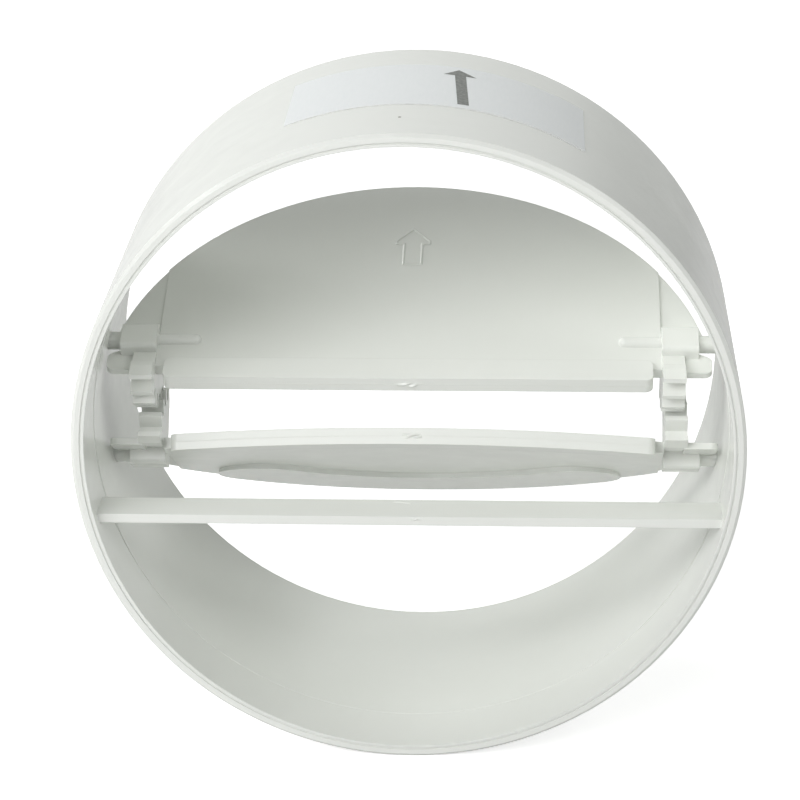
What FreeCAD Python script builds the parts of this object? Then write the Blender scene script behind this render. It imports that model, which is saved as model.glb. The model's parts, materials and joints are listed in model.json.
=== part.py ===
# Duct backdraft damper: a short moulded ring with two geared half-moon flaps.
# Air goes along +Y, the flaps turn about X, and the origin is the centre of the ring.
import FreeCAD, Part
import math
import os
from types import SimpleNamespace

import Sketcher
from FreeCAD import Placement, Rotation, Vector

# Driving dimensions, in millimetres and degrees
SIZES = {
    # Ring
    "ring_radius": 49.0,
    "ring_length": 45.0,
    "ring_wall": 2.0,
    "mouth_depth": 10.0,
    "mouth_step": 0.08,
    "rim_bevel": 0.5,
    "rim_groove_inset": 0.4,
    "rim_groove_width": 0.25,
    "rim_groove_depth": 0.15,
    # Bar across the inlet
    "bar_drop": 10.0,
    "bar_thickness": 1.4,
    "bar_depth": 6.0,
    "bar_setback": 2.0,
    # Pivots
    "pivot_offset": 9.25,
    "pivot_setback": 0.6,
    "pin_radius": 1.35,
    "pin_fit": 0.08,
    "pin_recess": 0.75,
    "upper_side_play": 0.6,
    "lower_open": 58.5,
    # Flap plate
    "flap_gap": 1.4,
    "plate_thickness": 1.7,
    "axis_depth": 0.2,
    "wing_step": 0.3,
    "wing_thickness": 1.0,
    # Lip along the straight edge
    "lip_gap": 0.35,
    "lip_width": 4.35,
    "lip_thickness": 2.5,
    "lip_round": 1.15,
    "lip_bow": 1.4,
    "notch_width": 1.4,
    "notch_depth": 3.15,
    # Pivot boss and tab at each end
    "boss_gap": 2.6,
    "boss_height": 4.0,
    "boss_foot": 1.1,
    "boss_rise": 1.85,
    "boss_round": 0.7,
    "upper_tab_gap": 0.65,
    "upper_tab_reach": 6.2,
    "lower_tab_gap": 0.15,
    "lower_tab_reach": 8.0,
    "tab_slope": 0.9,
    "tab_lap": 0.5,
    "tab_round": 1.2,
    # Toothed sector at each end
    "gear_inset": 2.1,
    "gear_width": 3.4,
    "gear_teeth": 19,
    "sector_teeth": 6,
    "first_tooth": -10.5,
    "tooth_rise": 0.85,
    "tooth_depth": 1.15,
    "tooth_root_width": 1.8,
    "tooth_tip_width": 0.76,
    # Half-round rib beside each boss of the upper flap
    "rib_length": 6.5,
    "rib_radius": 0.95,
    # Weight band of the lower flap
    "band_width": 14.2,
    "band_inset": 0.2,
    "band_rise": 0.35,
    "band_half_angle": 41.0,
    # Label on top of the ring
    "label_setback": 14.5,
    "label_length": 21.0,
    "label_sweep": 52.5,
    "label_turn": 4.8,
    "label_thickness": 0.12,
}

SHEET = "Sizes"
FULL_TURN = 360
TOLERANCE = 1e-4


class Size:
    """A dimension: its value, and the formula that ties it to the sheet."""

    def __init__(self, value, formula=None):
        self.value = value
        self.formula = str(value) if formula is None else formula

    def join(self, other, sign, value):
        return Size(value, f"({self.formula} {sign} {other.formula})")

    def __add__(self, other):
        other = as_size(other)
        return self.join(other, "+", self.value + other.value)

    def __sub__(self, other):
        other = as_size(other)
        return self.join(other, "-", self.value - other.value)

    def __mul__(self, other):
        other = as_size(other)
        return self.join(other, "*", self.value * other.value)

    def __truediv__(self, other):
        other = as_size(other)
        return self.join(other, "/", self.value / other.value)

    def __neg__(self):
        return Size(-self.value, f"(-1 * {self.formula})")


def as_size(number):
    return number if isinstance(number, Size) else Size(number)


def root(size):
    return Size(math.sqrt(size.value), f"sqrt({size.formula})")


def sine(size):
    return Size(math.sin(math.radians(size.value)), f"sin({size.formula})")


def cosine(size):
    return Size(math.cos(math.radians(size.value)), f"cos({size.formula})")


doc = FreeCAD.newDocument("BackdraftDamper")
sheet = doc.addObject("Spreadsheet::Sheet", SHEET)
for row, (name, value) in enumerate(SIZES.items(), start=1):
    sheet.set(f"A{row}", name)
    sheet.set(f"B{row}", str(value))
    sheet.setAlias(f"B{row}", name)
doc.recompute()
size = SimpleNamespace(**{name: Size(value, f"{SHEET}.{name}") for name, value in SIZES.items()})

# Places that follow from the driving dimensions
inner_radius = size.ring_radius - size.ring_wall
inlet = -(size.ring_length / 2)
outlet = size.ring_length / 2
wall_at_pivot = root(inner_radius * inner_radius - size.pivot_offset * size.pivot_offset)
pin_top = size.pivot_offset + size.pin_radius
pin_end = root(size.ring_radius * size.ring_radius - pin_top * pin_top) - size.pin_recess
boss_end = wall_at_pivot - size.boss_gap
gear_outer = boss_end - size.gear_inset
gear_inner = gear_outer - size.gear_width
lip_half = gear_inner - size.notch_width
flap_radius = inner_radius - size.flap_gap
flap_top = flap_radius - size.pivot_offset
lip_reach = size.pivot_offset - size.lip_gap
plate_back = size.axis_depth - size.plate_thickness
wing_back = size.axis_depth - size.wing_step - size.wing_thickness
in_plate = plate_back / 2
lip_front = plate_back + size.lip_thickness
boss_front = size.axis_depth + size.boss_rise
half_boss = size.boss_height / 2
boss_low = -(half_boss + size.boss_foot)
tooth_pitch = Size(FULL_TURN) / size.gear_teeth
upper_open = size.lower_open + tooth_pitch / 2
tip_radius = size.pivot_offset + size.tooth_rise
root_radius = size.pivot_offset - size.tooth_depth
through_flap = (size.lip_thickness + size.lip_bow) * 4
NONE = Size(0)


# Sketches and features
def new_body(label):
    body = doc.addObject("PartDesign::Body", label)
    body.Label = label
    body.AllowCompound = True
    return body


def origin_part(body, role):
    return next(item for item in body.Origin.OriginFeatures if item.Role == role)


def new_sketch(body, plane, name, lift=NONE, turn=NONE):
    """Sketch on one of the body's origin planes, lifted along its normal and turned about it."""
    sketch = body.newObject("Sketcher::SketchObject", name)
    sketch.AttachmentSupport = [(origin_part(body, plane), "")]
    sketch.MapMode = "FlatFace"
    sketch.AttachmentOffset = Placement(Vector(0, 0, lift.value), Rotation(Vector(0, 0, 1), turn.value))
    sketch.setExpression(".AttachmentOffset.Base.z", lift.formula)
    if turn is not NONE:
        sketch.setExpression(".AttachmentOffset.Rotation.Angle", turn.formula)
    return sketch


def flat(point):
    return Vector(point[0].value, point[1].value, 0)


def dimension(sketch, kind, places, length):
    index = sketch.addConstraint(Sketcher.Constraint(kind, *places, length.value))
    sketch.setExpression(f"Constraints[{index}]", length.formula)


def hold(sketch, edge, end, point):
    """Keeps one end of a sketch edge at its distances from the sketch's origin."""
    dimension(sketch, "DistanceX", (-1, 1, edge, end), point[0])
    dimension(sketch, "DistanceY", (-1, 1, edge, end), point[1])


def meet(sketch, edge, end, other, other_end):
    sketch.addConstraint(Sketcher.Constraint("Coincident", edge, end, other, other_end))


def polygon(sketch, corners):
    """Closed outline of straight edges through the corners."""
    for corner, following in zip(corners, corners[1:] + corners[:1]):
        sketch.addGeometry(Part.LineSegment(flat(corner), flat(following)))
    for edge, corner in enumerate(corners):
        meet(sketch, (edge - 1) % len(corners), 2, edge, 1)
        hold(sketch, edge, 1, corner)


def rectangle(sketch, low, high):
    polygon(sketch, [low, (high[0], low[1]), high, (low[0], high[1])])


def circle(sketch, radius, centre):
    index = sketch.addGeometry(Part.Circle(flat(centre), Vector(0, 0, 1), radius.value))
    dimension(sketch, "Radius", (index,), radius)
    hold(sketch, index, 3, centre)


def made(feature):
    """The feature, once it has been computed without a fault."""
    doc.recompute()
    if "Invalid" in feature.State or feature.Shape.isNull():
        raise RuntimeError(f"{feature.Label} failed: {feature.State}")
    return feature


def pad(body, name, sketch, length, symmetric=False):
    feature = body.newObject("PartDesign::Pad", name)
    feature.Profile = sketch
    feature.SideType = "Symmetric" if symmetric else "One side"
    feature.setExpression("Length", length.formula)
    return made(feature)


def pocket(body, name, sketch, length):
    """Cut to both sides of the sketch."""
    before = body.Tip.Shape.Volume
    feature = body.newObject("PartDesign::Pocket", name)
    feature.Profile = sketch
    feature.SideType = "Symmetric"
    feature.setExpression("Length", length.formula)
    if not made(feature).Shape.Volume < before - TOLERANCE:
        raise RuntimeError(f"{body.Label}: {name} cuts nothing")
    return feature


def revolve(body, name, sketch, angle):
    """Turned about the sketch's horizontal axis, half of the angle to each side."""
    feature = body.newObject("PartDesign::Revolution", name)
    feature.Profile = sketch
    feature.ReferenceAxis = (sketch, ["H_Axis"])
    feature.Midplane = True
    feature.setExpression("Angle", angle.formula)
    return made(feature)


def fillet(body, name, radius, direction, is_wanted):
    """Rounds the edges along a direction whose two ends both pass the test."""
    base = body.Tip
    names = []
    for number, edge in enumerate(base.Shape.Edges, start=1):
        ends = [vertex.Point for vertex in edge.Vertexes]
        if len(ends) != 2 or (ends[1] - ends[0]).cross(direction).Length > TOLERANCE:
            continue
        if all(is_wanted(end) for end in ends):
            names.append(f"Edge{number}")
    if not names:
        raise RuntimeError(f"{body.Label}: {name} finds no edges")
    feature = body.newObject("PartDesign::Fillet", name)
    feature.Base = (base, names)
    feature.setExpression("Radius", radius.formula)
    return made(feature)


ACROSS = Vector(1, 0, 0)
ALONG_AIR = Vector(0, 1, 0)


def near(value, length):
    return abs(value - length.value) < TOLERANCE


# Ring: wall profile turned about the air's axis, with the bar and the pivot holes
def make_ring():
    body = new_body("duct_ring")
    mouth_radius = inner_radius + size.mouth_step
    bevel_radius = size.ring_radius - size.rim_bevel
    groove_low = mouth_radius + size.rim_groove_inset
    groove_high = groove_low + size.rim_groove_width
    groove_floor = inlet + size.rim_groove_depth
    mouth_end = inlet + size.mouth_depth
    wall = new_sketch(body, "YZ_Plane", "WallProfile")
    polygon(wall, [
        (outlet, inner_radius),
        (outlet, bevel_radius),
        (outlet - size.rim_bevel, size.ring_radius),
        (inlet + size.rim_bevel, size.ring_radius),
        (inlet, bevel_radius),
        (inlet, groove_high),
        (groove_floor, groove_high),
        (groove_floor, groove_low),
        (inlet, groove_low),
        (inlet, mouth_radius),
        (mouth_end, mouth_radius),
        (mouth_end, inner_radius),
    ])
    revolve(body, "Wall", wall, Size(FULL_TURN))

    bar_front = inlet + size.bar_setback
    bar_half = root(inner_radius * inner_radius - size.bar_drop * size.bar_drop) + size.ring_wall / 2
    bar = new_sketch(body, "YZ_Plane", "BarSection")
    bar_low = (bar_front, -(size.bar_drop + size.bar_thickness))
    bar_high = (bar_front + size.bar_depth, -size.bar_drop)
    rectangle(bar, bar_low, bar_high)
    pad(body, "Bar", bar, bar_half * 2, symmetric=True)

    holes = new_sketch(body, "YZ_Plane", "PivotHoles")
    for height in (size.pivot_offset, -size.pivot_offset):
        circle(holes, size.pin_radius + size.pin_fit, (size.pivot_setback, height))
    pocket(body, "Holes", holes, size.ring_radius * 2)
    return body


# Flap: modelled shut about its own pivot axis, with its front to -Y and its curved edge up
def side_name(side):
    return "Right" if side > 0 else "Left"


def spans(side, inner, outer):
    """Distances across from the inner to the outer face of a piece on one side, low one first."""
    return (inner, outer) if side > 0 else (-outer, -inner)


def bowed_strip(sketch, back, front, half):
    """Section between two equal arcs, from one level in front of the axis to another."""
    radius = gear_inner * gear_inner / (size.lip_bow * 2) + size.lip_bow / 2
    end_bow = size.lip_bow - radius + root(radius * radius - half * half)
    back_end = end_bow - back
    front_end = end_bow - front
    for edge, level, end_level in ((0, -back, back_end), (1, -front, front_end)):
        crown = (NONE, level + size.lip_bow)
        sketch.addGeometry(Part.Arc(flat((half, end_level)), flat(crown), flat((-half, end_level))))
        dimension(sketch, "Radius", (edge,), radius)
        hold(sketch, edge, 1, (half, end_level))
        hold(sketch, edge, 2, (-half, end_level))
    for edge, end, across in ((2, 1, half), (3, 2, -half)):
        sketch.addGeometry(Part.LineSegment(flat((across, back_end)), flat((across, front_end))))
        meet(sketch, edge, 1, 0, end)
        meet(sketch, edge, 2, 1, end)


def straight_panel(body):
    """Flat plate between the toothed sectors, and its lip."""
    panel = new_sketch(body, "XZ_Plane", "PanelOutline", plate_back)
    rectangle(panel, (-gear_inner, -lip_reach), (gear_inner, flap_top))
    pad(body, "Panel", panel, size.plate_thickness)
    lip = new_sketch(body, "XZ_Plane", "LipOutline", in_plate)
    rectangle(lip, (-lip_half, -lip_reach), (lip_half, size.lip_width - lip_reach))
    pad(body, "Lip", lip, lip_front - in_plate)


def bowed_panel(body):
    """Plate that is bowed at its straight edge and flat at its curved one, and its bowed lip."""
    near_section = new_sketch(body, "XY_Plane", "PanelBowedEdge", -lip_reach)
    bowed_strip(near_section, plate_back, size.axis_depth, gear_inner)
    far_section = new_sketch(body, "XY_Plane", "PanelFlatEdge", flap_top)
    rectangle(far_section, (-gear_inner, -size.axis_depth), (gear_inner, -plate_back))
    panel = body.newObject("PartDesign::AdditiveLoft", "Panel")
    panel.Profile = near_section
    panel.Sections = [far_section]
    panel.Ruled = True
    made(panel)
    lip = new_sketch(body, "XY_Plane", "LipSection", -lip_reach)
    bowed_strip(lip, in_plate, lip_front, lip_half)
    pad(body, "Lip", lip, size.lip_width)


def add_wings(body):
    """Thinner plate beyond the toothed sectors."""
    for side in (1, -1):
        wing = new_sketch(body, "XZ_Plane", "WingOutline" + side_name(side), wing_back)
        low, high = spans(side, gear_inner, inner_radius)
        rectangle(wing, (low, -half_boss), (high, flap_top))
        pad(body, "Wing" + side_name(side), wing, size.wing_thickness)


def trim_plate(body):
    """Cuts the curved edge, then at each end the room for the pin and the notch beside the lip."""
    ring_centre = (NONE, -size.pivot_offset)
    curved_edge = new_sketch(body, "XZ_Plane", "CurvedEdge")
    circle(curved_edge, flap_radius, ring_centre)
    circle(curved_edge, flap_radius * 2, ring_centre)
    pocket(body, "CurvedCut", curved_edge, through_flap)

    below = -(lip_reach * 2)
    rooms = (
        ("PinRoom", boss_end, size.ring_radius, half_boss),
        ("Notch", lip_half, gear_inner, size.notch_depth - lip_reach),
    )
    for title, inner, outer, top in rooms:
        for side in (1, -1):
            cut = new_sketch(body, "XZ_Plane", title + "Outline" + side_name(side))
            low, high = spans(side, inner, outer)
            rectangle(cut, (low, below), (high, top))
            pocket(body, title + side_name(side), cut, through_flap)

    def at_lip_corner(point):
        at_edge = near(point.z, -lip_reach) or near(point.z, size.lip_width - lip_reach)
        return near(abs(point.x), lip_half) and at_edge

    fillet(body, "LipCorners", size.lip_round, ALONG_AIR, at_lip_corner)


def add_tabs(body, tab_end, tab_reach):
    """Flat tab with round outer corners, from the side of each toothed sector."""
    tab_start = gear_outer - size.tab_lap
    shoulder = -(half_boss + size.tab_slope)
    outline = [
        (tab_start, NONE),
        (boss_end, NONE),
        (boss_end, -half_boss),
        (tab_end, shoulder),
        (tab_end, -tab_reach),
        (tab_start, -tab_reach),
    ]
    for side in (1, -1):
        tab = new_sketch(body, "XZ_Plane", "TabOutline" + side_name(side), wing_back)
        polygon(tab, [(across * side, up) for across, up in outline])
        pad(body, "Tab" + side_name(side), tab, size.wing_thickness)

    def at_tab_corner(point):
        return near(abs(point.x), tab_end) and (near(point.z, -tab_reach) or near(point.z, shoulder))

    fillet(body, "TabCorners", size.tab_round, ALONG_AIR, at_tab_corner)


def add_pivots(body):
    """Boss with a rounded front around each end of the axis, and the pin that stands out of it."""
    for side in (1, -1):
        boss = new_sketch(body, "XZ_Plane", "BossOutline" + side_name(side), plate_back)
        low, high = spans(side, gear_inner, boss_end)
        rectangle(boss, (low, boss_low), (high, half_boss))
        pad(body, "Boss" + side_name(side), boss, boss_front - plate_back)

    def at_boss_front(point):
        return near(point.y, -boss_front) and (near(point.z, boss_low) or near(point.z, half_boss))

    fillet(body, "BossFronts", size.boss_round, ACROSS, at_boss_front)
    for side in (1, -1):
        low, high = spans(side, gear_inner, pin_end)
        pin = new_sketch(body, "YZ_Plane", "PinSection" + side_name(side), low)
        circle(pin, size.pin_radius, (NONE, NONE))
        pad(body, "Pin" + side_name(side), pin, high - low)


def sector_outline(sketch, first_tooth, last_tooth):
    """Slice of the root circle, from the middle of the first tooth to a third of a pitch past the last."""
    last = last_tooth + tooth_pitch / 3
    angles = (first_tooth, last)
    ends = [(root_radius * sine(angle), -(root_radius * cosine(angle))) for angle in angles]
    middle = (first_tooth + last) / 2
    crown = (root_radius * sine(middle), -(root_radius * cosine(middle)))
    sketch.addGeometry(Part.LineSegment(Vector(0, 0, 0), flat(ends[0])))
    sketch.addGeometry(Part.Arc(flat(ends[0]), flat(crown), flat(ends[1])))
    sketch.addGeometry(Part.LineSegment(flat(ends[1]), Vector(0, 0, 0)))
    meet(sketch, 0, 1, -1, 1)
    meet(sketch, 0, 2, 1, 1)
    meet(sketch, 1, 2, 2, 1)
    meet(sketch, 2, 2, -1, 1)
    hold(sketch, 0, 2, ends[0])
    hold(sketch, 2, 1, ends[1])
    dimension(sketch, "Radius", (1,), root_radius)


def add_sectors(body, first_tooth, count):
    """Toothed sector at each end: one tooth, repeated round the axis."""
    sweep = tooth_pitch * (count - 1)
    tooth_foot = root_radius - size.tooth_depth
    half_root = size.tooth_root_width / 2
    half_tip = size.tooth_tip_width / 2
    for side in (1, -1):
        low, high = spans(side, gear_inner, gear_outer)
        sector = new_sketch(body, "YZ_Plane", "SectorOutline" + side_name(side), low)
        sector_outline(sector, first_tooth, first_tooth + sweep)
        pad(body, "Sector" + side_name(side), sector, high - low)
        tooth = new_sketch(body, "YZ_Plane", "ToothOutline" + side_name(side), low, first_tooth)
        polygon(tooth, [
            (-half_root, -tooth_foot),
            (-half_root, -root_radius),
            (-half_tip, -tip_radius),
            (half_tip, -tip_radius),
            (half_root, -root_radius),
            (half_root, -tooth_foot),
        ])
        first = pad(body, "Tooth" + side_name(side), tooth, high - low)
        teeth = body.newObject("PartDesign::PolarPattern", "Teeth" + side_name(side))
        teeth.Originals = [first]
        teeth.Axis = (origin_part(body, "X_Axis"), [""])
        teeth.setExpression("Angle", sweep.formula)
        teeth.setExpression("Occurrences", count.formula)
        body.Tip = teeth
        made(teeth)


def add_ribs(body):
    """Half-round rib on the front face, in line with each pin, with a round inner end."""
    for side in (1, -1):
        rib = new_sketch(body, "XY_Plane", "RibProfile" + side_name(side))
        rib.setExpression(".AttachmentOffset.Base.y", (-size.axis_depth).formula)
        tip = (gear_inner - size.rib_length) * side
        bend = tip + size.rib_radius * side
        foot = (gear_inner + size.rib_radius) * side
        crown = size.rib_radius * math.sqrt(0.5)
        on_round = (bend - crown * side, crown)
        rib.addGeometry(Part.LineSegment(flat((tip, NONE)), flat((foot, NONE))))
        rib.addGeometry(Part.LineSegment(flat((foot, NONE)), flat((foot, size.rib_radius))))
        rib.addGeometry(Part.LineSegment(flat((foot, size.rib_radius)), flat((bend, size.rib_radius))))
        rib.addGeometry(Part.Arc(flat((bend, size.rib_radius)), flat(on_round), flat((tip, NONE))))
        arc_start, arc_end = (1, 2) if side > 0 else (2, 1)
        meet(rib, 0, 2, 1, 1)
        meet(rib, 1, 2, 2, 1)
        meet(rib, 2, 2, 3, arc_start)
        meet(rib, 3, arc_end, 0, 1)
        hold(rib, 0, 1, (tip, NONE))
        hold(rib, 0, 2, (foot, NONE))
        hold(rib, 2, 1, (foot, size.rib_radius))
        hold(rib, 2, 2, (bend, size.rib_radius))
        dimension(rib, "Radius", (3,), size.rib_radius)
        revolve(body, "Rib" + side_name(side), rib, Size(FULL_TURN))


def add_band(body):
    """Raised weight band along the curved edge, with round ends."""
    outer = flap_radius - size.band_inset
    inner = outer - size.band_width
    middle = (outer + inner) / 2
    end_across = middle * sine(size.band_half_angle)
    end_up = middle * cosine(size.band_half_angle) - size.pivot_offset
    band = new_sketch(body, "XZ_Plane", "BandOutline", in_plate)
    slope = math.radians(90 - size.band_half_angle.value)
    centre = Vector(0, -size.pivot_offset.value, 0)
    upright = Vector(0, 0, 1)
    for radius in (outer, inner):
        whole = Part.Circle(centre, upright, radius.value)
        band.addGeometry(Part.ArcOfCircle(whole, slope, math.pi - slope))
    for side, start in ((1, slope - math.pi), (-1, math.pi - slope)):
        cap = Part.Circle(flat((end_across * side, end_up)), upright, size.band_width.value / 2)
        band.addGeometry(Part.ArcOfCircle(cap, start, start + math.pi))
    for edge, radius in ((0, outer), (1, inner)):
        dimension(band, "Radius", (edge,), radius)
        hold(band, edge, 3, (NONE, -size.pivot_offset))
    for edge, outer_end, inner_end, own_outer, own_inner in ((2, 1, 1, 2, 1), (3, 2, 2, 1, 2)):
        band.addConstraint(Sketcher.Constraint("Tangent", edge, own_outer, 0, outer_end))
        band.addConstraint(Sketcher.Constraint("Tangent", edge, own_inner, 1, inner_end))
    dimension(band, "DistanceX", (-1, 1, 2, 3), end_across)
    dimension(band, "DistanceX", (-1, 1, 3, 3), -end_across)
    pad(body, "Band", band, size.axis_depth + size.band_rise - in_plate)


def finish_flap(body, tab_gap, tab_reach):
    """What the two flaps have in common."""
    add_wings(body)
    trim_plate(body)
    add_tabs(body, wall_at_pivot - tab_gap, tab_reach)
    add_pivots(body)


def make_upper_flap():
    body = new_body("upper_flap")
    straight_panel(body)
    finish_flap(body, size.upper_tab_gap, size.upper_tab_reach)
    add_sectors(body, size.first_tooth, size.sector_teeth)
    add_ribs(body)
    axis_place = Vector(-size.upper_side_play.value, size.pivot_setback.value, size.pivot_offset.value)
    body.Placement = Placement(axis_place, Rotation(ACROSS, -upper_open.value))
    return body


def make_lower_flap():
    body = new_body("lower_flap")
    bowed_panel(body)
    finish_flap(body, size.lower_tab_gap, size.lower_tab_reach)
    add_sectors(body, size.first_tooth + tooth_pitch, size.sector_teeth - 1)
    add_band(body)
    axis_place = Vector(0, size.pivot_setback.value, -size.pivot_offset.value)
    turned_over = Rotation(ALONG_AIR, FULL_TURN / 2)
    body.Placement = Placement(axis_place, Rotation(ACROSS, size.lower_open.value) * turned_over)
    return body


# Label: thin sheet wrapped on the outside of the ring
def make_label():
    body = new_body("airflow_label")
    section = new_sketch(body, "YZ_Plane", "LabelSection")
    front = inlet + size.label_setback
    low = (front, size.ring_radius)
    high = (front + size.label_length, size.ring_radius + size.label_thickness)
    rectangle(section, low, high)
    revolve(body, "Sheet", section, size.label_sweep)
    body.Placement = Placement(Vector(0, 0, 0), Rotation(Vector(0, 1, 0), size.label_turn.value))
    return body


bodies = [
    make_ring(),
    make_upper_flap(),
    make_lower_flap(),
    make_label(),
]
doc.recompute()

for item in doc.Objects:
    if "Invalid" in item.State or "Error" in item.State:
        raise RuntimeError(f"{item.Label} failed: {item.State}")
for body in bodies:
    shape = body.Shape
    if shape.isNull() or not shape.isValid() or len(shape.Solids) != 1:
        raise RuntimeError(f"{body.Label} isn't one valid solid")

os.makedirs("parts", exist_ok=True)
for body in bodies:
    body.Shape.exportStep(f"parts/{body.Label}.step")
    box = body.Shape.BoundBox
    extent = f"{box.XLength:.2f} x {box.YLength:.2f} x {box.ZLength:.2f} mm"
    print(f"{body.Label}: {body.Shape.Volume:.1f} mm3, {extent}")
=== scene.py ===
# %% [markdown]
# A backdraft damper is a short plastic tube that slips into an air duct. Two half-moon flaps inside it
# open when a fan blows and fall shut when it stops. Its shape comes ready made from CAD, so this lesson
# loads that model and adds what CAD leaves out: moulding marks, print, plastic, paper and light.

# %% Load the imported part
import json

import bpy
import numpy as np
from mathutils import Matrix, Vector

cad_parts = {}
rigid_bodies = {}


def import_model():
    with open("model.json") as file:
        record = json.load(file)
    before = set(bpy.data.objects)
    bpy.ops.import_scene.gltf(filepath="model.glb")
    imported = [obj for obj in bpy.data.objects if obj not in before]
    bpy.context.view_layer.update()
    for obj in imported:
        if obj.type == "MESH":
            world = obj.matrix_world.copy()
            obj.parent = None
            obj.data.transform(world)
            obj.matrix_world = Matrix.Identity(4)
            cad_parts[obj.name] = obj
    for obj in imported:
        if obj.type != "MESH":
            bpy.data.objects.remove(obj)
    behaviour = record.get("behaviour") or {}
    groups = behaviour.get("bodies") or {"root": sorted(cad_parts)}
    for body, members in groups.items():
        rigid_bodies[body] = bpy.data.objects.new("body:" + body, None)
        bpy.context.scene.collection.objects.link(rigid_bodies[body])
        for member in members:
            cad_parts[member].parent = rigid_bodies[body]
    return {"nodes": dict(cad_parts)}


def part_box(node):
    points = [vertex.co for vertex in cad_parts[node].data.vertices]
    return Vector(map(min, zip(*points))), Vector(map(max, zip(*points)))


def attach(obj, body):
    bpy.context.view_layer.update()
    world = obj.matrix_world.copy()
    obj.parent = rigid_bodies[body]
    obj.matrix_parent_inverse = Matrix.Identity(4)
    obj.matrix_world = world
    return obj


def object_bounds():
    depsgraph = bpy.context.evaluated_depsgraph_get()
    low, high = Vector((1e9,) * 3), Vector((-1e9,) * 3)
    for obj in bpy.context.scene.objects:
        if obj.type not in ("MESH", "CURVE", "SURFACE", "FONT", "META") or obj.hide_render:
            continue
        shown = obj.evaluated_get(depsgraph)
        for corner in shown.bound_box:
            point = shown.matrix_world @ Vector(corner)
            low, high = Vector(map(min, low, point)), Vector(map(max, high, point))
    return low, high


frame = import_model()
cad_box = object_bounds()
nodes = frame["nodes"]
MM = 0.001

for thing in list(bpy.data.objects):
    if thing.type in {"MESH", "LIGHT", "CAMERA"} and thing not in nodes.values():
        bpy.data.objects.remove(thing)
print("nodes:", sorted(nodes))
print("box in mm:", [[round(v / MM, 1) for v in corner] for corner in cad_box])

# %% [markdown]
# The photograph looks into the inlet from a little above. A camera can be set by eye, but here its three
# angles and its place were worked out from the rims, which are true circles in the real part. Turning by
# pan, then tilt, then roll keeps each number easy to read. A long lens keeps the two rims alike in size.

# %% Camera
PAN, TILT, ROLL = np.radians([-2.89, 22.17, 0.65])
CAMERA_PLACE = (0.01784, -0.3940, 0.16087)
LENS_MM, SENSOR_MM = 126.0, 36.0
CLIP_NEAR, CLIP_FAR = 0.01, 20.0

forward = np.array([np.sin(PAN) * np.cos(TILT), np.cos(PAN) * np.cos(TILT), -np.sin(TILT)])
level = np.array([np.cos(PAN), -np.sin(PAN), 0.0])
upright = np.cross(level, forward)
camera_right = np.cos(ROLL) * level - np.sin(ROLL) * upright
camera_up = np.sin(ROLL) * level + np.cos(ROLL) * upright

lens = bpy.data.cameras.new("photo_lens")
lens.lens = LENS_MM
lens.sensor_width = SENSOR_MM
lens.clip_start = CLIP_NEAR
lens.clip_end = CLIP_FAR
camera = bpy.data.objects.new("photo_camera", lens)
camera_turn = Matrix(np.column_stack([camera_right, camera_up, -forward]).tolist()).to_4x4()
camera.matrix_world = Matrix.Translation(CAMERA_PLACE) @ camera_turn
bpy.context.scene.collection.objects.link(camera)
bpy.context.scene.camera = camera
print("camera looks along", forward.round(3))

# %% [markdown]
# Every finish below is a small network of shader nodes, and three helpers keep them short. One turns a
# colour as a painter would read it, in sRGB hex, into the linear light that Blender reckons in. One adds
# a node with its settings, its fixed values and its links. One starts a new material. Where sockets share
# a name they are called by number: Map Range takes the old range in 1 and 2 and the new range in 3 and 4,
# and Mix takes its share in 0 and its two colours in 6 and 7, and gives the mixed colour at output 2.

# %% Helpers for finishes


def linear(hex_colour):
    """sRGB to linear: v / 12.92 in the dark end, else ((v + 0.055) / 1.055) to the power 2.4."""
    v = np.array([int(hex_colour[i:i + 2], 16) for i in (1, 3, 5)]) / 255
    return (*np.where(v <= 0.04045, v / 12.92, ((v + 0.055) / 1.055) ** 2.4).tolist(), 1.0)


def add(tree, kind, values=None, links=None, **settings):
    """Adds one node; values fill its sockets and links join sockets of other nodes to it."""
    node = tree.nodes.new("ShaderNode" + kind)
    for name, value in settings.items():
        setattr(node, name, value)
    for socket, value in (values or {}).items():
        node.inputs[socket].default_value = value
    for socket, source in (links or {}).items():
        tree.links.new(source, node.inputs[socket])
    return node


def finish(name):
    """A new material with only its output node: gives the material, its node tree and that node."""
    material = bpy.data.materials.new(name)
    material.use_nodes = True
    tree = material.node_tree
    tree.nodes.clear()
    return material, tree, tree.nodes.new("ShaderNodeOutputMaterial")


RING_PALE, RING_DEEP = "#F0F2EE", "#EBEDE8"
print("the ring's grey white in linear light:", np.round(linear(RING_PALE), 3))

# %% [markdown]
# The ring and the flaps are ABS, injected hot into a polished steel mould. That gives a warm grey white
# with an even, soft gloss. Looked at closely it isn't even: the skin ripples a little where the plastic
# cooled, the gloss changes in clouds where hands have been, and a few grey flecks of dust and burnt resin
# are shut in. Each of these is one pattern, with its scale taken from a real size. The edges of a
# moulding are never knife sharp, so a bevel node rounds the light on them.

# %% Moulded ABS
FLAP_PALE, FLAP_DEEP, FLECK_GREY = "#EFF1ED", "#EAECE7", "#7E7C74"
CLOUD_SIZE, TOUCH_SIZE = 22 * MM, 7 * MM
# Real ripple of a mould skin is near 1 mm; it is drawn at 3 mm so that it shows
RIPPLE_SIZE, RIPPLE_HEIGHT, RIPPLE_STRENGTH = 3 * MM, 0.02 * MM, 0.25
# A fleck is strongest within its core and gone past its rim, and about one cell in 17 has one
FLECK_CELL, FLECK_CORE, FLECK_RIM = 6 * MM, 0.108 * MM, 0.18 * MM
FLECK_RARE, FLECK_SHARE = 0.94, 0.55
EDGE_ROUND, EDGE_SAMPLES = 0.12 * MM, 6
ABS_IOR = 1.54


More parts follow.
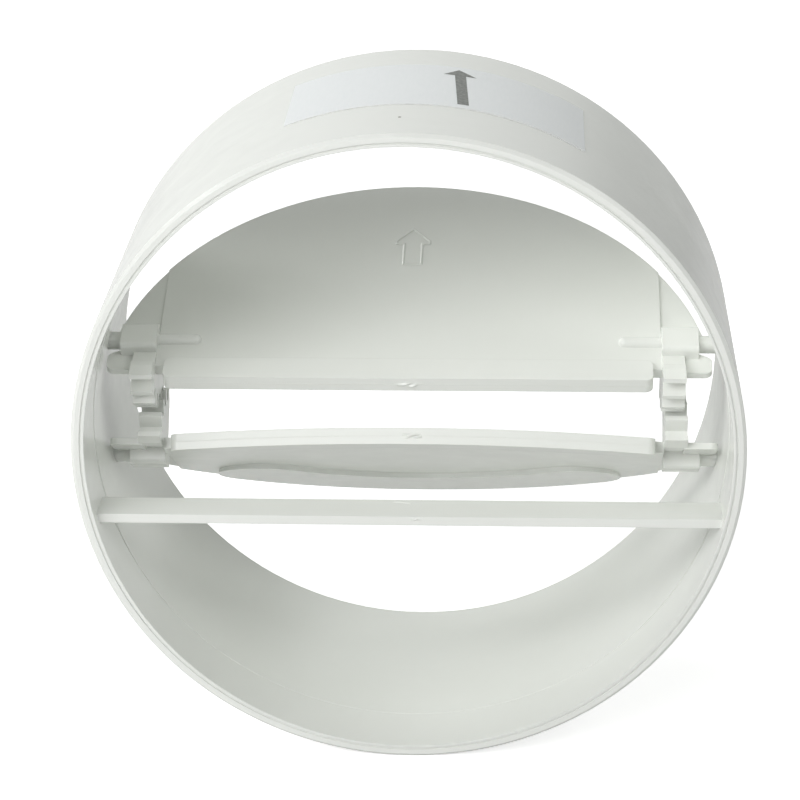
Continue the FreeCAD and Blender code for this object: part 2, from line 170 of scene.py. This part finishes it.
def moulded_abs(name, pale, deep, gloss_low, gloss_high):
    """ABS: two close greys in clouds, cloudy gloss, rippled skin, rounded edges and rare flecks."""
    material, tree, output = finish(name)
    place = add(tree, "TexCoord").outputs["Object"]
    clouds = add(tree, "TexNoise", {"Scale": 1 / CLOUD_SIZE, "Detail": 3.0}, {"Vector": place})
    touch = add(tree, "TexNoise", {"Scale": 1 / TOUCH_SIZE, "Detail": 4.0, "Distortion": 0.6},
                {"Vector": place})
    ripple = add(tree, "TexNoise", {"Scale": 1 / RIPPLE_SIZE, "Detail": 1.0}, {"Vector": place})
    cells = add(tree, "TexVoronoi", {"Scale": 1 / FLECK_CELL}, {"Vector": place})
    chance = add(tree, "SeparateColor", links={0: cells.outputs["Color"]})
    rare = add(tree, "Math", {1: FLECK_RARE}, {0: chance.outputs[0]}, operation="GREATER_THAN")
    # The pattern gives distance as a share of its cell, so the two sizes are divided by it
    near = add(tree, "MapRange",
               {1: FLECK_CORE / FLECK_CELL, 2: FLECK_RIM / FLECK_CELL, 3: FLECK_SHARE, 4: 0.0},
               {0: cells.outputs["Distance"]})
    fleck = add(tree, "Math", links={0: rare.outputs[0], 1: near.outputs[0]}, operation="MULTIPLY")
    body = add(tree, "Mix", {6: linear(deep), 7: linear(pale)}, {0: clouds.outputs["Fac"]},
               data_type="RGBA")
    colour = add(tree, "Mix", {7: linear(FLECK_GREY)}, {0: fleck.outputs[0], 6: body.outputs[2]},
                 data_type="RGBA")
    rough = add(tree, "MapRange", {1: 0.3, 2: 0.7, 3: gloss_low, 4: gloss_high},
                {0: touch.outputs["Fac"]})
    edge = add(tree, "Bevel", {"Radius": EDGE_ROUND}, samples=EDGE_SAMPLES)
    skin = add(tree, "Bump", {"Strength": RIPPLE_STRENGTH, "Distance": RIPPLE_HEIGHT},
               {"Height": ripple.outputs["Fac"], "Normal": edge.outputs[0]})
    shader = add(tree, "BsdfPrincipled", {"IOR": ABS_IOR},
                 {"Base Color": colour.outputs[2], "Roughness": rough.outputs[0],
                  "Normal": skin.outputs[0]})
    tree.links.new(shader.outputs[0], output.inputs[0])
    return material


ring_abs = moulded_abs("moulded_abs_ring", RING_PALE, RING_DEEP, 0.19, 0.26)
flap_abs = moulded_abs("moulded_abs_flaps", FLAP_PALE, FLAP_DEEP, 0.20, 0.26)
nodes["duct_ring"].material_slots[0].material = ring_abs
nodes["upper_flap"].material_slots[0].material = flap_abs
nodes["lower_flap"].material_slots[0].material = flap_abs
print("moulded ABS on duct_ring, upper_flap and lower_flap")

# %% [markdown]
# The sticker on top is coated paper. It is bluer and brighter than the plastic, since paper mills add a
# blue whitener, and its clay coat is smoother than the paper fibres under it, which still show as a fine
# tooth. The fibres are stretched along one way, as they lie in the sheet. The cut edge shows the bare core
# and a little glue, so it has gone grey with dust: a narrow band, found by how far along the ring we are.

# %% Coated paper
PAPER_DEEP, PAPER_PALE, PAPER_DUST = "#EBEFF0", "#F2F5F6", "#CDCDC8"
FIBRE_WIDTH, FIBRE_LENGTH, FIBRE_HEIGHT = 0.4 * MM, 2.5 * MM, 0.01 * MM
DUST_BAND, DUST_SHARE = 0.12 * MM, 0.5
COATING_IOR = 1.50


def coated_paper(name, cut_edge):
    """Clay coated paper: a cool white with faint long fibres, and grey where it is cut."""
    material, tree, output = finish(name)
    place = add(tree, "TexCoord").outputs["Object"]
    lay = add(tree, "Mapping", {"Scale": (1 / FIBRE_WIDTH, 1 / FIBRE_LENGTH, 1 / FIBRE_WIDTH)},
              {"Vector": place})
    fibres = add(tree, "TexNoise", {"Scale": 1.0, "Detail": 2.0}, {"Vector": lay.outputs[0]})
    sheet = add(tree, "Mix", {6: linear(PAPER_DEEP), 7: linear(PAPER_PALE)},
                {0: fibres.outputs["Fac"]}, data_type="RGBA")
    along = add(tree, "SeparateXYZ", links={0: place})
    dust = add(tree, "MapRange", {1: cut_edge, 2: cut_edge + DUST_BAND, 3: DUST_SHARE, 4: 0.0},
               {0: along.outputs["Y"]})
    tone = add(tree, "Mix", {7: linear(PAPER_DUST)}, {0: dust.outputs[0], 6: sheet.outputs[2]},
               data_type="RGBA")
    tooth = add(tree, "Bump", {"Strength": 0.2, "Distance": FIBRE_HEIGHT},
                {"Height": fibres.outputs["Fac"]})
    shader = add(tree, "BsdfPrincipled", {"IOR": COATING_IOR, "Roughness": 0.32},
                 {"Base Color": tone.outputs[2], "Normal": tooth.outputs[0]})
    tree.links.new(shader.outputs[0], output.inputs[0])
    return material


label_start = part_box("airflow_label")[0][1]
nodes["airflow_label"].material_slots[0].material = coated_paper("coated_paper_label", label_start)
print("paper on airflow_label, from", round(label_start / MM, 2), "mm along the ring")

# %% [markdown]
# The pieces that follow are surfaces worked out with numpy. Each is a grid: rows run along the piece and
# columns run across it. One helper turns such a grid of points into a mesh, and can join the last row to
# the first where the piece goes round in a loop.

# %% Grid to mesh


def piece(name, grid, body, material, loop=False, shade=30.0):
    """A mesh from points[row, column, xyz] in mm: each square of four neighbours is one face."""
    rows, columns, _ = grid.shape
    index = np.arange(rows * columns).reshape(rows, columns)
    here = index if loop else index[:-1]
    ahead = np.roll(index, -1, axis=0) if loop else index[1:]
    corners = [here[:, :-1], here[:, 1:], ahead[:, 1:], ahead[:, :-1]]
    squares = np.stack(corners, axis=-1).reshape(-1, 4)
    mesh = bpy.data.meshes.new(name)
    mesh.from_pydata((grid.reshape(-1, 3) * MM).tolist(), [], squares.tolist())
    mesh.shade_smooth()
    mesh.set_sharp_from_angle(angle=np.radians(shade))
    mesh.materials.append(material)
    made = bpy.data.objects.new(name, mesh)
    bpy.context.scene.collection.objects.link(made)
    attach(made, body)
    print(name, "has", len(squares), "faces and rides on", body)


print("grids are in mm, and a mesh takes", MM, "m for each")

# %% [markdown]
# The sticker carries a printed arrow that shows which way the air goes. Its ink is black toner, which is
# melted on to the paper as a powder. It dries matt and not quite black, and it is paler at pinholes where
# the powder lies thin.

# %% Toner
TONER_DARK, TONER_THIN = "#666966", "#8C8F8A"
PINHOLE_SIZE = 0.5 * MM


def printed_ink(name):
    """Toner on paper: a dark cool grey, matt, with a noise that turns it paler at pinholes."""
    material, tree, output = finish(name)
    place = add(tree, "TexCoord").outputs["Object"]
    holes = add(tree, "TexNoise", {"Scale": 1 / PINHOLE_SIZE, "Detail": 3.0}, {"Vector": place})
    thin = add(tree, "MapRange", {1: 0.35, 2: 0.75}, {0: holes.outputs["Fac"]})
    tone = add(tree, "Mix", {6: linear(TONER_DARK), 7: linear(TONER_THIN)}, {0: thin.outputs[0]},
               data_type="RGBA")
    shader = add(tree, "BsdfPrincipled", {"IOR": COATING_IOR, "Roughness": 0.40},
                 {"Base Color": tone.outputs[2]})
    tree.links.new(shader.outputs[0], output.inputs[0])
    return material


ink = printed_ink("toner_on_paper")
print("made", ink.name)

# %% [markdown]
# A decal texture would do for the arrow in a game, but print has a clean edge at any size if it is a
# surface of its own: a thin skin of ink wrapped on the sticker's cylinder. Its width is a function of how
# far along the arrow we are, so shaft and head are one grid each, and the ink folds down into the paper at
# its rim. The sticker went on a little askew, so the arrow's angle on the ring changes along its length.

# %% Printed arrow
INK_RADIUS, INK_FOLD = 49.14, 0.04
SHAFT_START, HEAD_START, HEAD_TIP = -6.4, 8.5, 11.4
SHAFT_HALF, HEAD_HALF, TIP_HALF = 0.83, 2.44, 0.05
SHAFT_ROWS, HEAD_ROWS = 12, 8


def wrapped_ink(along, half_width, centre):
    """Ink on a cylinder: angle = the arrow's own angle + a share of its half width over the radius."""
    across = np.array([-1.0, -1.0, -0.5, 0.0, 0.5, 1.0, 1.0])
    lift = INK_FOLD * np.array([-1.0, 0.0, 0.0, 0.0, 0.0, 0.0, -1.0])
    angle = np.radians(centre)[:, None] + half_width[:, None] * across / INK_RADIUS
    radius = INK_RADIUS + lift + 0 * angle
    return np.stack([radius * np.sin(angle), along[:, None] + 0 * angle, radius * np.cos(angle)], axis=-1)


shaft_y = np.linspace(SHAFT_START, HEAD_START, SHAFT_ROWS)
shaft_angle = np.interp(shaft_y, [SHAFT_START, HEAD_START], [9.16, 8.25])
shaft = wrapped_ink(shaft_y, np.full(SHAFT_ROWS, SHAFT_HALF), shaft_angle)
piece("label_arrow_shaft", shaft, "ring", ink)

head_y = np.linspace(HEAD_START, HEAD_TIP, HEAD_ROWS)
head_half = np.interp(head_y, [HEAD_START, HEAD_TIP], [HEAD_HALF, TIP_HALF])
head_angle = np.interp(head_y, [HEAD_START, HEAD_TIP], [8.2, 7.95])
head = wrapped_ink(head_y, head_half, head_angle)
piece("label_arrow_head", head, "ring", ink)

# %% [markdown]
# Marks on the flaps are easiest to draw on a flap that lies flat: x to the side, along from the pivot to
# the rim, and out of the plate's front. Two functions bring such measures into the shared frame. At rest
# both flaps stand open, and the upper one is half a tooth further open than the lower one, because the
# teeth of one have to fall between the teeth of the other.

# %% From a flap to the shared frame
OPEN_ANGLE, TEETH_ROUND = 58.5, 19
UPPER_ANGLE, LOWER_ANGLE = np.radians([OPEN_ANGLE + 180 / TEETH_ROUND, OPEN_ANGLE])
PIVOT_Y, PIVOT_Z, SIDE_PLAY = 0.6, 9.25, 0.6


def on_upper_flap(x, along, out):
    """The upper flap's own measures, turned about its pivot and shifted by its play to one side."""
    y = PIVOT_Y + along * np.sin(UPPER_ANGLE) - out * np.cos(UPPER_ANGLE)
    z = PIVOT_Z + along * np.cos(UPPER_ANGLE) + out * np.sin(UPPER_ANGLE)
    return np.stack(np.broadcast_arrays(x - SIDE_PLAY, y, z), axis=-1)


def on_lower_flap(x, along, out):
    """The lower flap's own measures: the same kind of turn, then upside down about the ring's axis."""
    y = PIVOT_Y + along * np.sin(LOWER_ANGLE) - out * np.cos(LOWER_ANGLE)
    z = -(PIVOT_Z + along * np.cos(LOWER_ANGLE) + out * np.sin(LOWER_ANGLE))
    return np.stack(np.broadcast_arrays(-x, y, z), axis=-1)


print("flaps open by", np.degrees([UPPER_ANGLE, LOWER_ANGLE]).round(1), "degrees from upright")

# %% [markdown]
# The upper flap has an outline arrow moulded on its front, so that the fitter knows which way is up. It
# stands as a ridge about a seventh of a millimetre high. It is a small round profile carried along the
# arrow's outline, and at each corner the profile is set on the mitre line, so the ridge keeps its width.

# %% Raised arrow on the upper flap
PLATE_FRONT = 0.2
RIDGE_HALF, RIDGE_HEIGHT, RIDGE_SINK = 0.22, 0.17, 0.03


def mitred(corners):
    """The mitre at each corner of an outline: the two sides' normals added, over 1 + their product."""
    side = np.roll(corners, -1, axis=0) - corners
    side = side / np.linalg.norm(side, axis=1, keepdims=True)
    normal = np.column_stack([side[:, 1], -side[:, 0]])
    before = np.roll(normal, 1, axis=0)
    return (normal + before) / (1 + np.sum(normal * before, axis=1, keepdims=True))


arrow = np.array([[-0.15, 26.0], [2.45, 23.1], [2.45, 22.4], [1.25, 22.4], [1.25, 17.65],
                  [-1.55, 17.65], [-1.55, 22.4], [-2.75, 22.4], [-2.75, 23.1]])
swing = np.linspace(-1.0, 1.0, 9)
ridge_side = RIDGE_HALF * swing
ridge_rise = RIDGE_HEIGHT * np.cos(swing * np.pi / 2) ** 0.7 - RIDGE_SINK
track = arrow[:, None, :] + mitred(arrow)[:, None, :] * ridge_side[None, :, None]
ridge = on_upper_flap(track[..., 0], track[..., 1], PLATE_FRONT + ridge_rise[None, :])
piece("flap_arrow", ridge, "upper", flap_abs, loop=True)

# %% [markdown]
# Plastic enters a mould through a gate, and the flap is broken off there. It leaves a torn patch in the
# middle of each lip's edge. The two halves of the mould also meet along that edge, and a hair of plastic
# creeps between them: the parting line. The patch is a dome with seeded bumps on it, and the line is a low
# ridge along the whole lip. On the lower flap both follow the bow of its lip.

# %% Gate marks and parting lines
LIP_EDGE, LIP_HALF, LIP_MIDDLE = -8.9, 36.0, -0.25
GEAR_INNER, LIP_BOW = 37.98, 1.4
GATE_HALF_LENGTH, GATE_HALF_WIDTH = 1.55, 0.42
GATE_RISE, GATE_WAVE, GATE_SINK = 0.22, 0.09, 0.02
LINE_HALF_WIDTH, LINE_RISE, LINE_SINK = 0.07, 0.05, 0.01


def no_bow(x):
    """The upper lip is straight: nought times x."""
    return 0 * x


def lip_bow(x):
    """The lower lip bows back as an arc of a circle that sinks by LIP_BOW at its middle."""
    radius = GEAR_INNER ** 2 / (2 * LIP_BOW) + LIP_BOW / 2
    return -(LIP_BOW - radius + np.sqrt(radius ** 2 - x ** 2))


def torn_patch(seed):
    """A dome, roots of cos of u and cos of v multiplied, with four seeded waves that fade to its rim."""
    u, v = np.meshgrid(np.linspace(-1, 1, 41), np.linspace(-1, 1, 17), indexing="ij")
    waves = np.random.default_rng(seed).uniform([2, 2, 0], [9, 6, 6.3], (4, 3))
    along_u, along_v, shift = waves.T[:, :, None, None]
    rough = np.sum(np.sin(along_u * u + along_v * v + shift), axis=0)
    dome = np.cos(u * np.pi / 2) ** 0.5 * np.cos(v * np.pi / 2) ** 0.5
    return u, v, dome * (GATE_RISE + GATE_WAVE * rough) - GATE_SINK


def parting_line(half):
    """A ridge with a cosine profile, in the same terms as the patch: along, across and rise."""
    u, v = np.meshgrid(np.linspace(-half, half, 73), np.linspace(-1, 1, 5), indexing="ij")
    return u, LINE_HALF_WIDTH * v, LINE_RISE * np.cos(v * np.pi / 2) - LINE_SINK


lips = ((on_upper_flap, "upper", no_bow, 3), (on_lower_flap, "lower", lip_bow, 8))
for place_on, body, bow, seed in lips:
    u, v, rise = torn_patch(seed)
    x = GATE_HALF_LENGTH * u
    patch = place_on(x, LIP_EDGE - rise, LIP_MIDDLE + bow(x) - GATE_HALF_WIDTH * v)
    piece(body + "_gate_mark", patch, body, flap_abs, shade=60)
    u, across, rise = parting_line(LIP_HALF)
    line = place_on(u, LIP_EDGE - rise, LIP_MIDDLE + bow(u) - across)
    piece(body + "_parting_line", line, body, flap_abs)

# %% [markdown]
# The ring has such a mark too: its gate was near the middle of the bar, just under the bar's front edge. A
# tool has also slipped across the bar's top and thrown up a burr, a thread of plastic three millimetres
# long. Both take their forms from above and set them on the bar's flat faces. The mark is flatter than the
# ones on the lips, and the burr is wider and higher than a parting line and fades out at both ends.

# %% Gate mark and burr on the bar
BAR_FRONT, BAR_TOP = -20.5, -10.0
MARK_X, MARK_DROP, MARK_HALF_LENGTH, MARK_HALF_WIDTH, MARK_FLATTER = 1.2, 0.42, 0.85, 0.24, 0.5
BURR_WIDER, BURR_HIGHER = 2.2, 2.8

u, v, rise = torn_patch(5)
mark_x = MARK_X + MARK_HALF_LENGTH * u
mark_y = BAR_FRONT - MARK_FLATTER * rise
mark_z = BAR_TOP - MARK_DROP - MARK_HALF_WIDTH * v
piece("bar_gate_mark", np.stack([mark_x, mark_y, mark_z], axis=-1), "ring", ring_abs,
      shade=60)

burr_middle = np.array([-1.2, -15.55])
burr_way = np.array([1.4, -0.3])
burr_side = np.array([burr_way[1], -burr_way[0]]) / np.linalg.norm(burr_way)
u, across, rise = parting_line(1.0)
burr_plan = burr_middle + burr_way * u[..., None] + burr_side * BURR_WIDER * across[..., None]
burr_rise = BURR_HIGHER * (rise + LINE_SINK) * np.cos(u * np.pi / 2) ** 0.3 - LINE_SINK
burr = np.concatenate([burr_plan, BAR_TOP + burr_rise[..., None]], axis=-1)
piece("bar_burr", burr, "ring", ring_abs)

# %% [markdown]
# One larger speck of burnt resin sits in the skin on top of the ring, in front of the sticker. The flecks
# in the plastic are too small for it, so it is a cap of its own: a shallow bowl turned over, which sinks
# into the wall all round, so that its rim is a clean circle from any side.

# %% Burnt speck
BURNT_DARK, BURNT_PALE, GRAIN_SIZE = "#5E594F", "#857F74", 0.1 * MM
SPECK_RADIUS, SPECK_RISE = 0.24, 0.05
SPECK_ANGLE, SPECK_ALONG, RING_WALL = -1.1, -14.29, 49.0


def burnt_resin(name):
    """Resin that stayed too long in the hot barrel: brown grey, with a fine noise of paler grains."""
    material, tree, output = finish(name)
    place = add(tree, "TexCoord").outputs["Object"]
    grains = add(tree, "TexNoise", {"Scale": 1 / GRAIN_SIZE, "Detail": 1.0}, {"Vector": place})
    tone = add(tree, "Mix", {6: linear(BURNT_DARK), 7: linear(BURNT_PALE)}, {0: grains.outputs["Fac"]},
               data_type="RGBA")
    shader = add(tree, "BsdfPrincipled", {"IOR": ABS_IOR, "Roughness": 0.45},
                 {"Base Color": tone.outputs[2]})
    tree.links.new(shader.outputs[0], output.inputs[0])
    return material


def speck_cap(angle, along, wall):
    """A cap on a cylinder: it rises by 1 - u squared - v squared, so it meets the wall on a circle."""
    v, u = np.meshgrid(np.linspace(-1, 1, 13), np.linspace(-1, 1, 13), indexing="ij")
    radius = wall + SPECK_RISE * (1 - u ** 2 - v ** 2)
    turn = np.radians(angle) + SPECK_RADIUS * u / wall
    return np.stack([radius * np.sin(turn), along + SPECK_RADIUS * v, radius * np.cos(turn)], axis=-1)


cap = speck_cap(SPECK_ANGLE, SPECK_ALONG, RING_WALL)
piece("burnt_speck", cap, "ring", burnt_resin("burnt_resin_speck"))

# %% [markdown]
# The damper stands on a white table. The table is a real surface, so it takes the damper's shadow and
# throws light back up under it. A light path node adds white for rays that come from the camera, and less
# of it for rays that come from a glossy surface. That makes a clean background without more light on the
# plastic. The table ends a little behind the part, so that the gloss also shows what stands behind it.

# %% White table
TABLE_SIDE, TABLE_BACK = 3.0, 0.45
TABLE_GREY, TABLE_GLOW, TABLE_GLOW_IN_GLOSS = "#E8E8E8", 0.62, 0.06

table_height = cad_box[0][2]
table_x, table_y = np.meshgrid([-TABLE_SIDE, TABLE_SIDE], [-TABLE_SIDE, TABLE_BACK])
table_points = np.stack([table_x, table_y, np.full((2, 2), table_height)], axis=-1).reshape(-1, 3)
table_mesh = bpy.data.meshes.new("white_table")
table_mesh.from_pydata(table_points.tolist(), [], [(0, 1, 3, 2)])
table = bpy.data.objects.new("white_table", table_mesh)
bpy.context.scene.collection.objects.link(table)

white_laminate, tree, output = finish("white_laminate")
seen = add(tree, "LightPath")
mirrored = add(tree, "Math", operation="MAXIMUM",
               links={0: seen.outputs["Is Glossy Ray"], 1: seen.outputs["Is Transmission Ray"]})
in_gloss = add(tree, "Math", {1: TABLE_GLOW_IN_GLOSS}, {0: mirrored.outputs[0]}, operation="MULTIPLY")
glow = add(tree, "Math", {1: TABLE_GLOW}, {0: seen.outputs["Is Camera Ray"], 2: in_gloss.outputs[0]},
           operation="MULTIPLY_ADD")
matt = add(tree, "BsdfDiffuse", {"Color": linear(TABLE_GREY)})
white = add(tree, "Emission", links={"Strength": glow.outputs[0]})
both = add(tree, "AddShader", links={0: matt.outputs[0], 1: white.outputs[0]})
tree.links.new(both.outputs[0], output.inputs[0])
table_mesh.materials.append(white_laminate)
print("table at", round(table_height / MM, 2), "mm")

# %% [markdown]
# The light is a soft studio set of four large lamps, at the left, in front, behind at the left and, much
# weaker, at the right. Each lamp's power follows from the light wanted on the part: watts are pi squared
# times distance squared times the share of full white that this lamp gives.

# %% Lamps
LAMP_SIZE = 0.55


def soft_lamp(name, place, share):
    """A square lamp that looks at the middle of the part; watts = pi * pi * distance squared * share."""
    lamp = bpy.data.lights.new(name, "AREA")
    lamp.size = LAMP_SIZE
    distance = np.linalg.norm(place)
    lamp.energy = float(np.pi ** 2 * distance ** 2 * share)
    back = np.array(place) / distance
    side = np.cross([0, 0, 1], back)
    side = side / np.linalg.norm(side)
    lamp_turn = Matrix(np.column_stack([side, np.cross(back, side), back]).tolist()).to_4x4()
    made = bpy.data.objects.new(name, lamp)
    made.matrix_world = Matrix.Translation(place) @ lamp_turn
    bpy.context.scene.collection.objects.link(made)
    print(name, "gives", round(lamp.energy, 2), "W at", round(float(distance), 2), "m")


soft_lamp("left_lamp", (-0.80, -0.50, 0.50), 0.37)
soft_lamp("front_lamp", (-0.38, -0.80, 0.62), 0.41)
soft_lamp("rear_lamp", (-0.75, 0.50, 0.55), 0.33)
soft_lamp("right_lamp", (0.70, -0.48, 0.62), 0.18)

# %% [markdown]
# Glossy plastic shows what stands round it, so the room matters as much as the lamps. A white backdrop
# stands behind the part, and its right edge makes the change from pale to grey on the ring's right
# shoulder. A weak window fills from the right. The world works both out from the way a ray goes: the
# backdrop grows with Y and ends past an upright plane, the window grows with X, and the camera sees white.

# %% Room
BACKDROP, WINDOW, ROOM_WHITE = 0.82, 0.50, "#FDFFFC"
BACKDROP_EDGE = np.radians(16.6)
FADE_START, FADE_END = -0.04, 0.08

room = bpy.data.worlds.new("pale_room")
room.use_nodes = True
tree = room.node_tree
tree.nodes.clear()
way = add(tree, "TexCoord").outputs["Generated"]
parts = add(tree, "SeparateXYZ", links={0: way})
behind = add(tree, "Math", {1: 0.0}, {0: parts.outputs["Y"]}, operation="MAXIMUM")
beside = add(tree, "Math", {1: 0.0}, {0: parts.outputs["X"]}, operation="MAXIMUM")
edge_normal = (np.cos(BACKDROP_EDGE), -np.sin(BACKDROP_EDGE), 0.0)
past_edge = add(tree, "VectorMath", {1: edge_normal}, {0: way}, operation="DOT_PRODUCT")
cloth = add(tree, "MapRange", {1: FADE_START, 2: FADE_END, 3: BACKDROP, 4: 0.0},
            {0: past_edge.outputs["Value"]})
backdrop = add(tree, "Math", links={0: behind.outputs[0], 1: cloth.outputs[0]}, operation="MULTIPLY")
light = add(tree, "Math", {1: WINDOW}, {0: beside.outputs[0], 2: backdrop.outputs[0]},
            operation="MULTIPLY_ADD")
seen = add(tree, "LightPath")
strength = add(tree, "Math", links={0: light.outputs[0], 1: seen.outputs["Is Camera Ray"]},
               operation="MAXIMUM")
air = add(tree, "Background", {"Color": linear(ROOM_WHITE)}, {"Strength": strength.outputs[0]})
tree.links.new(air.outputs[0], tree.nodes.new("ShaderNodeOutputWorld").inputs[0])
bpy.context.scene.world = room
bpy.context.scene.view_settings.view_transform = "Standard"
print("room light: backdrop", BACKDROP, "and window", WINDOW)
